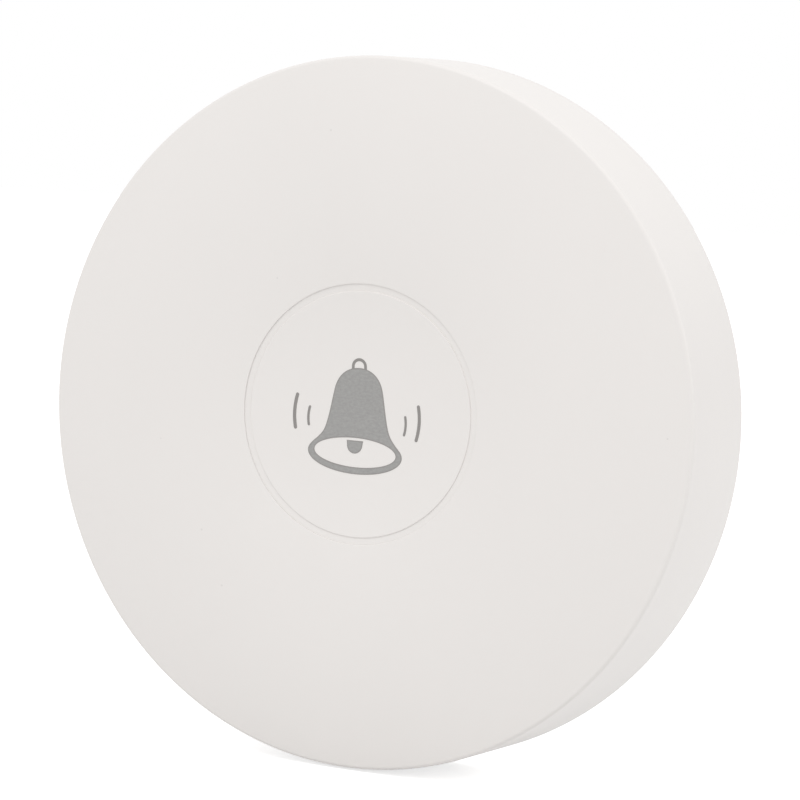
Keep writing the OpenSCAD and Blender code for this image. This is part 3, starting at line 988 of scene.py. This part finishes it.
@dataclass
class ButtonCap:
    """The flush cap that carries on the dish; its ledge is the floor of the groove and runs under the lip."""

    face: Face
    slide_r: float = 14.75
    skirt_end: float = 12.8
    rings: int = 40
    near: float = 0.12

    def build(self, turning: NodeShape) -> bpy.types.Object:
        """Makes the cap, riding on its body.

        Args:
            turning: the lathe tree.

        Returns:
            The cap.
        """
        face = self.face
        dish = [face.button_r * i / self.rings for i in range(self.rings + 1)]
        floor = [(r, face.height(r) - face.groove_h) for r in (face.button_r, face.mouth_r)]
        lip = [face.at(dish[-2]), face.at(face.button_r), floor[0]]
        path = [face.at(r) for r in dish[:-1]]
        path += [*rounded(lip, 1, face.lip_round, face.arc_steps), *floor]
        path += [(self.slide_r, floor[1][1] - self.slide_r + face.mouth_r),
                 (self.slide_r, self.skirt_end + face.band)]
        ends = [(self.skirt_end, Vector((1, 0)))]
        cut = (self.slide_r, self.skirt_end)
        skin = TurnedSkin("button_cap", path, ends, cut, Finish.CASE, near=self.near)
        piece = skin.build(turning)
        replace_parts(piece, "button_cap")
        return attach(piece, "button")


@dataclass
class BellSign:
    """A hand bell with sound strokes, printed in grey on the cap: a thin layer that follows the dish.

    The flank's points are where its three curves meet and their handles, from the dome down. A stroke is its
    reach from the axis, its level, its half length and its half width.
    """

    face: Face
    axis: float = -0.6
    top: float = 5.1
    dome_pull: float = 1.5
    flank: tuple[Point, ...] = ((2.65, 4.2), (3.0, 2.6), (3.3, 1.2), (3.55, -0.6), (3.95, -1.75),
                                (4.25, -2.6))
    foot_pull: float = 0.75
    mouth: Point = (-0.01, -4.49)
    mouth_half: Point = (5.87, 2.26)
    hollow: Point = (-0.02, -4.35)
    hollow_half: Point = (5.09, 1.63)
    oval_steps: int = 96
    tilt: float = -0.9
    shoulder: float = 23.0
    clapper: Point = (-0.16, -3.02)
    clapper_half: float = 1.02
    clapper_drop: float = 0.5
    clapper_taper: float = 0.93
    loop: Point = (-0.02, 0.17)
    loop_r: float = 0.93
    loop_wire: float = 0.33
    strokes: tuple[tuple[float, ...], ...] = ((7.79, -0.37, 1.85, 0.195), (6.09, -0.78, 0.99, 0.145))
    stagger: float = 0.12
    sweep: float = 4.1
    lean: float = -0.9
    contour: float = 0.2
    mitre: float = 0.5
    ink: float = 0.02
    cell: float = 0.9
    snap: float = 1e-8

    def build(self) -> bpy.types.Object:
        """Makes the sign, riding on the button.

        Returns:
            The sign.
        """
        bm = bmesh.new()
        self._fill(bm, self._bell(), self._oval(self.hollow, self.hollow_half))
        self._fill(bm, self._clapper())
        for line in [self._loop(), *self._strokes()]:
            self._triangles(bm, self._ring(bm, line, 1.0))
        self._lay(bm)
        piece = piece_from("bell_sign", bm, Finish.INK)
        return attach(piece, "button")

    def _oval(self, centre: Point, half: Point, start: float = 0.0, end: float = 360.0) -> list[Point]:
        """Points of a tilted oval of the bell's mouth, without the last.

        Args:
            centre: the oval's middle.
            half: half its width and height.
            start: the first angle in degrees.
            end: the last angle in degrees.

        Returns:
            The points.
        """
        turn = math.radians(self.tilt)
        points = []
        for i in range(self.oval_steps):
            a = math.radians(start + (end - start) * i / self.oval_steps)
            x, y = half[0] * math.cos(a), half[1] * math.sin(a)
            points.append((centre[0] + x * math.cos(turn) - y * math.sin(turn),
                           centre[1] + x * math.sin(turn) + y * math.cos(turn)))
        return points

    def _flank(self, foot: Point, beyond: Point) -> list[Point]:
        """One flank of the bell, from the dome's top to its foot on the mouth oval.

        Args:
            foot: the point of the oval where the flank ends.
            beyond: the next point of the oval, which gives the direction there.

        Returns:
            The points, without the foot.
        """
        s = 1 if foot[0] > 0 else -1
        run = (Vector(foot) - Vector(beyond)).normalized() * self.foot_pull
        p = [(s * x, z) for x, z in self.flank]
        dome = bezier((0, self.top), (s * self.dome_pull, self.top), p[0], p[1])
        waist = bezier(p[1], p[2], p[3], p[4])
        flare = bezier(p[4], p[5], tuple(Vector(foot) + run), foot)
        return dome + waist + flare

    def _bell(self) -> list[Point]:
        """Draws the bell's body and mouth.

        Returns:
            The outline.
        """
        low = self._oval(self.mouth, self.mouth_half, self.shoulder, -180 - self.shoulder)
        right = self._flank(low[0], low[1])
        left = self._flank(low[-1], low[-2])
        return right + low + left[:0:-1]

    def _clapper(self) -> list[Point]:
        """Draws the clapper, hung under the upper edge of the mouth.

        Returns:
            The outline.
        """
        w = self.clapper_half
        x, z = self.clapper
        tongue = arc((x, z - self.clapper_drop), w * self.clapper_taper, 180, 360, steps=16)
        return [(x + w, z), (x - w, z), *tongue]

    def _dome_at(self, x: float) -> float:
        """Height of the dome's outline at a place across it.

        Args:
            x: the place, from the bell's axis.

        Returns:
            The height.
        """
        # Any foot will do, because only the dome's part of the flank is looked at.
        flank = self._flank((6, -4), (6, -5))
        for (x0, y0), (x1, y1) in zip(flank, flank[1:]):
            if x0 <= abs(x) <= x1:
                return y0 + (y1 - y0) * (abs(x) - x0) / (x1 - x0)
        return self.top

    def _loop(self) -> list[Point]:
        """Draws the loop that the bell hangs by, standing on the dome.

        Returns:
            The outline.
        """
        centre = (self.loop[0], self.top + self.loop[1])
        outer = arc(centre, self.loop_r, 0, 180, steps=24)
        inner = arc(centre, self.loop_r - self.loop_wire, 180, 0, steps=20)
        feet = [[(p[0], self._dome_at(p[0])) for p in ends]
                for ends in ((outer[-1], inner[0]), (inner[-1], outer[0]))]
        return outer + feet[0] + inner + feet[1]

    def _strokes(self) -> list[list[Point]]:
        """Draws the four sound strokes, a long and a short one on each side.

        Returns:
            Their outlines.
        """
        made = []
        for s in (-1, 1):
            for reach, level, half, thick in self.strokes:
                radius = half * self.sweep
                span = math.degrees(math.asin(half / radius))
                start = (0 if s > 0 else 180) + self.lean
                middle = (s * reach, level - s * self.stagger)
                centre = arc(middle, radius, start + 180, start + 180, steps=1)[0]
                outer = arc(centre, radius + thick, start - span, start + span, steps=20)
                inner = arc(centre, radius - thick, start + span, start - span, steps=20)
                tips = [tuple((Vector(outer[i]) + Vector(inner[j])) / 2) for i, j in ((-1, 0), (0, -1))]
                turns = [start + d * (90 + span) for d in (1, -1)]
                caps = [arc(tip, thick, turn - 90, turn + 90, steps=8)[1:-1]
                        for tip, turn in zip(tips, turns)]
                made.append(outer + caps[0] + inner + caps[1])
        return made

    def _inset(self, outline: list[Point]) -> list[Point]:
        """Moves an outline to its left by the width of the heavy contour.

        Args:
            outline: the outline.

        Returns:
            The moved outline, with a limit on how far a sharp corner goes.
        """
        made = []
        for i in range(len(outline)):
            before, here, after = (Vector(outline[j % len(outline)]) for j in (i - 1, i, i + 1))
            one, two = (here - before).normalized(), (after - here).normalized()
            left = [Vector((-side.y, side.x)) for side in (one, two)]
            middle = (left[0] + left[1]).normalized()
            made.append(tuple(here + middle * self.contour / max(self.mitre, middle.dot(left[0]))))
        return made

    def _ring(self, bm: bmesh.types.BMesh, outline: list[Point], contour: float) -> list[bmesh.types.BMEdge]:
        """Adds a closed ring of edges in the plane of X and Z.

        Args:
            bm: the mesh that takes the edges.
            outline: the points, in millimetres from the sign's axis.
            contour: how heavy the ink is there, from 0 to 1.

        Returns:
            The edges.
        """
        layer = bm.verts.layers.float.get(CONTOUR) or bm.verts.layers.float.new(CONTOUR)
        verts = [bm.verts.new(((x + self.axis) * MM, 0, z * MM)) for x, z in outline]
        for vert in verts:
            vert[layer] = contour
        return [bm.edges.new((verts[i - 1], verts[i])) for i in range(len(verts))]

    @staticmethod
    def _triangles(bm: bmesh.types.BMesh, edges: list[bmesh.types.BMEdge]) -> None:
        """Fills rings of edges with triangles."""
        bmesh.ops.triangle_fill(bm, edges=edges, use_beauty=True, normal=(0, -1, 0))

    def _fill(self, bm: bmesh.types.BMesh, outline: list[Point], hole: Optional[list[Point]] = None) -> None:
        """Fills an outline, with a band of heavier ink along its edges.

        Args:
            bm: the mesh that takes the triangles.
            outline: the outline, in millimetres.
            hole: the outline of a hole.
        """
        core = []
        for ring, turn in ((outline, 1), (hole or [], -1)):
            area = sum(a[0] * b[1] - b[0] * a[1] for a, b in zip(ring, ring[1:] + ring[:1]))
            ring = ring if area * turn > 0 else ring[::-1]
            if ring:
                rim = self._ring(bm, ring, 1.0)
                within = self._ring(bm, self._inset(ring), 0.0)
                self._triangles(bm, rim + within)
                core += within
        self._triangles(bm, core)

    def _lay(self, bm: bmesh.types.BMesh) -> None:
        """Cuts the flat sign into small cells, lays it on the dish and gives it the thickness of the ink.

        Args:
            bm: the flat sign.
        """
        for axis in (0, 2):
            low = min(v.co[axis] for v in bm.verts)
            high = max(v.co[axis] for v in bm.verts)
            normal = Vector((axis == 0, 0, axis == 2))
            for i in range(1, int((high - low) / (self.cell * MM)) + 1):
                geom = [*bm.verts, *bm.edges, *bm.faces]
                place = normal * (low + i * self.cell * MM)
                bmesh.ops.bisect_plane(bm, geom=geom, dist=self.snap, plane_co=place, plane_no=normal)
        bmesh.ops.triangulate(bm, faces=bm.faces)
        for face in bm.faces:
            face.normal_update()
            if face.normal.y > 0:
                face.normal_flip()
        tops = {v for f in bm.faces for v in f.verts}
        rim = [e for e in bm.edges if e.is_boundary]
        under = bmesh.ops.duplicate(bm, geom=[*bm.verts, *bm.edges, *bm.faces])
        pairs = under["vert_map"]
        for edge in rim:
            a, b = edge.verts
            bm.faces.new((a, b, pairs[b], pairs[a]))
        for face in under["geom"]:
            if isinstance(face, bmesh.types.BMFace):
                face.normal_flip()
        for v in bm.verts:
            depth = self.face.height(math.hypot(v.co.x, v.co.z) / MM)
            v.co.y = -(depth + (self.ink if v in tops else -self.ink / 2)) * MM
        bmesh.ops.recalc_face_normals(bm, faces=bm.faces)


@dataclass
class WallPlate:
    """The twist-lock plate behind the case, in its node's own shape."""

    def build(self) -> bpy.types.Object:
        """Makes the plate, riding on its body.

        Returns:
            The plate.
        """
        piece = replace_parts(piece_from("wall_plate", merged("base_plate"), Finish.PLATE), "base_plate")
        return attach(piece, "wall_plate")


@dataclass
class SnapDome:
    """The switch's domed spring, which flattens under the plunger and brings the button back."""

    press: float = 0.8

    def build(self) -> bpy.types.Object:
        """Makes the dome on the case, with a mesh of its own.

        Returns:
            The dome.
        """
        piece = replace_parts(piece_from("snap_dome", merged("switch_dome"), Finish.SHEET), "switch_dome")
        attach(piece, "case")
        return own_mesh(piece)


@dataclass
class Electronics:
    """The parts inside: CAD nodes that keep their meshes."""

    finishes: dict[str, Finish] = field(default_factory=lambda: {
        "circuit_board": Finish.BOARD, "board_screws": Finish.STEEL, "switch_base": Finish.BLACK,
        "switch_cover": Finish.SHEET, "switch_plunger": Finish.BLACK,
        "switch_terminals": Finish.TIN, "encoder_chip": Finish.RESIN, "encoder_leads": Finish.TIN,
        "rf_resonator": Finish.SHEET, "rf_transistor": Finish.RESIN, "transistor_leads": Finish.TIN,
        "chip_resistors": Finish.RESISTOR, "chip_capacitors": Finish.CAPACITOR, "antenna_coil": Finish.COPPER,
        "battery_cell": Finish.CELL, "positive_contact": Finish.NICKEL, "negative_contact": Finish.NICKEL,
        "contact_spring": Finish.STEEL})

    def dress(self, nodes: dict[str, bpy.types.Object]) -> None:
        """Gives each inner node its finish.

        Args:
            nodes: the CAD nodes by name.
        """
        for name, finish in self.finishes.items():
            mesh = nodes[name].data
            mesh.materials.clear()
            mesh.materials.append(finish.material())
            LOG.info("%s: %s", name, finish.value.name)


# Stage


@dataclass(frozen=True)
class Lamp:
    """A soft square lamp that looks at the object: its name, place, side and power."""

    name: str
    place: Triple
    size: float
    watts: float

    def hang(self) -> None:
        """Puts the lamp into the scene."""
        data = bpy.data.lights.new(self.name, "AREA")
        data.size = self.size * MM
        data.energy = self.watts
        lamp = bpy.data.objects.new(self.name, data)
        lamp.location = Vector(self.place) * MM
        lamp.rotation_euler = (-lamp.location).to_track_quat("-Z", "Y").to_euler()
        bpy.context.scene.collection.objects.link(lamp)


@dataclass
class Studio:
    """Plain floor, soft light and the camera at the photograph's angle.

    The camera's distance and offset are in radii of the rim, and its other sizes as Blender names them.
    """

    rim_centre: Triple = (0, -14.0, 0)
    rim_r: float = 39.713
    azimuth: float = 26.72
    elevation: float = 2.92
    turn: float = -3.3
    distance: float = 9.0
    offset: Point = (0.1121, 0.0403)
    lens: float = 144.82
    sensor: float = 36.0
    clip_start: float = 10.0
    floor_z: float = -40.0
    floor_half: float = 3000.0
    floor_tone: float = 0.76
    floor_glow: float = 0.68
    surround: float = 0.85
    lamps: tuple[Lamp, ...] = (Lamp("top_lamp", (0, -450, 600), 450, 1.55),
                               Lamp("side_lamp", (620, 180, 340), 450, 0.69))

    def build(self) -> None:
        """Makes floor, world, lamps and camera."""
        self._floor()
        self._world()
        for lamp in self.lamps:
            lamp.hang()
        self._camera()
        bpy.context.scene.view_settings.view_transform = "Standard"

    def _floor(self) -> None:
        """A white floor that keeps a faint shadow."""
        mesh = bpy.data.meshes.new("floor")
        half, z = self.floor_half * MM, self.floor_z * MM
        corners = [(-half, -half, z), (half, -half, z), (half, half, z), (-half, half, z)]
        mesh.from_pydata(corners, [], [(0, 1, 2, 3)])
        floor = new_piece("floor", mesh)
        material = bpy.data.materials.new("studio_floor")
        material.use_nodes = True
        kit = NodeKit(material.node_tree)
        cloth = kit.add("ShaderNodeBsdfDiffuse", None, {"Color": (*(self.floor_tone,) * 3, 1)})
        glow = kit.add("ShaderNodeEmission", None, {"Color": WHITE, "Strength": self.floor_glow})
        seen = kit.add("ShaderNodeAddShader", None, {0: cloth, 1: glow})
        pick = kit.add("ShaderNodeMixShader", None, {0: self._seen(kit), 1: cloth, 2: seen})
        kit.add("ShaderNodeOutputMaterial", None, {"Surface": pick})
        mesh.materials.append(material)

    @staticmethod
    def _seen(kit: NodeKit) -> Value:
        """Tells the rays that show the background from those that light the object.


        Returns:
            One for rays from the camera, a mirror or glass, else zero.
        """
        path = kit.add("ShaderNodeLightPath")
        seen = [kit.value(path, name) for name in ("Is Camera Ray", "Is Glossy Ray", "Is Transmission Ray")]
        return seen[0].largest(seen[1]).largest(seen[2])

    def _world(self) -> None:
        """A white surround: soft light on the object, plain white to the eye."""
        world = bpy.data.worlds.new("studio")
        bpy.context.scene.world = world
        world.use_nodes = True
        kit = NodeKit(world.node_tree)
        light = kit.add("ShaderNodeBackground", None, {"Color": WHITE, "Strength": self.surround})
        white = kit.add("ShaderNodeBackground", None, {"Color": WHITE, "Strength": 1.0})
        pick = kit.add("ShaderNodeMixShader", None, {0: self._seen(kit), 1: light, 2: white})
        kit.add("ShaderNodeOutputWorld", None, {"Surface": pick})

    def _camera(self) -> None:
        """The camera: aimed past the rim's centre, then turned about the push's own axis."""
        az, el = math.radians(self.azimuth), math.radians(self.elevation)
        back = Vector((math.sin(az) * math.cos(el), -math.cos(az) * math.cos(el), math.sin(el)))
        up = Vector((-math.sin(az) * math.sin(el), math.cos(az) * math.sin(el), math.cos(el)))
        right = Vector((math.cos(az), math.sin(az), 0))
        eye = (back * self.distance + right * self.offset[0] + up * self.offset[1]) * self.rim_r
        aimed = Matrix((right, up, back)).transposed().to_4x4()
        aimed.translation = (Vector(self.rim_centre) + eye) * MM
        data = bpy.data.cameras.new("camera")
        data.sensor_width = self.sensor
        data.lens = self.lens
        data.clip_start = self.clip_start * MM
        camera = bpy.data.objects.new("camera", data)
        camera.matrix_world = Matrix.Rotation(math.radians(self.turn), 4, "Y") @ aimed
        bpy.context.scene.collection.objects.link(camera)
        bpy.context.scene.camera = camera


def main() -> None:
    """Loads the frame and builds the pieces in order."""
    logging.basicConfig(level=logging.INFO, format="%(name)s: %(message)s")
    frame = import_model()
    Studio().build()
    face = Face()
    turning = lathe()
    pieces = [FrontShell(face).build(turning), ButtonCap(face).build(turning), BellSign(face).build(),
              WallPlate().build(), SnapDome().build()]
    Electronics().dress(frame["nodes"])
    for piece in pieces:
        LOG.info("%s: %d faces", piece.name, len(piece.data.polygons))


if __name__ == "__main__":
    main()
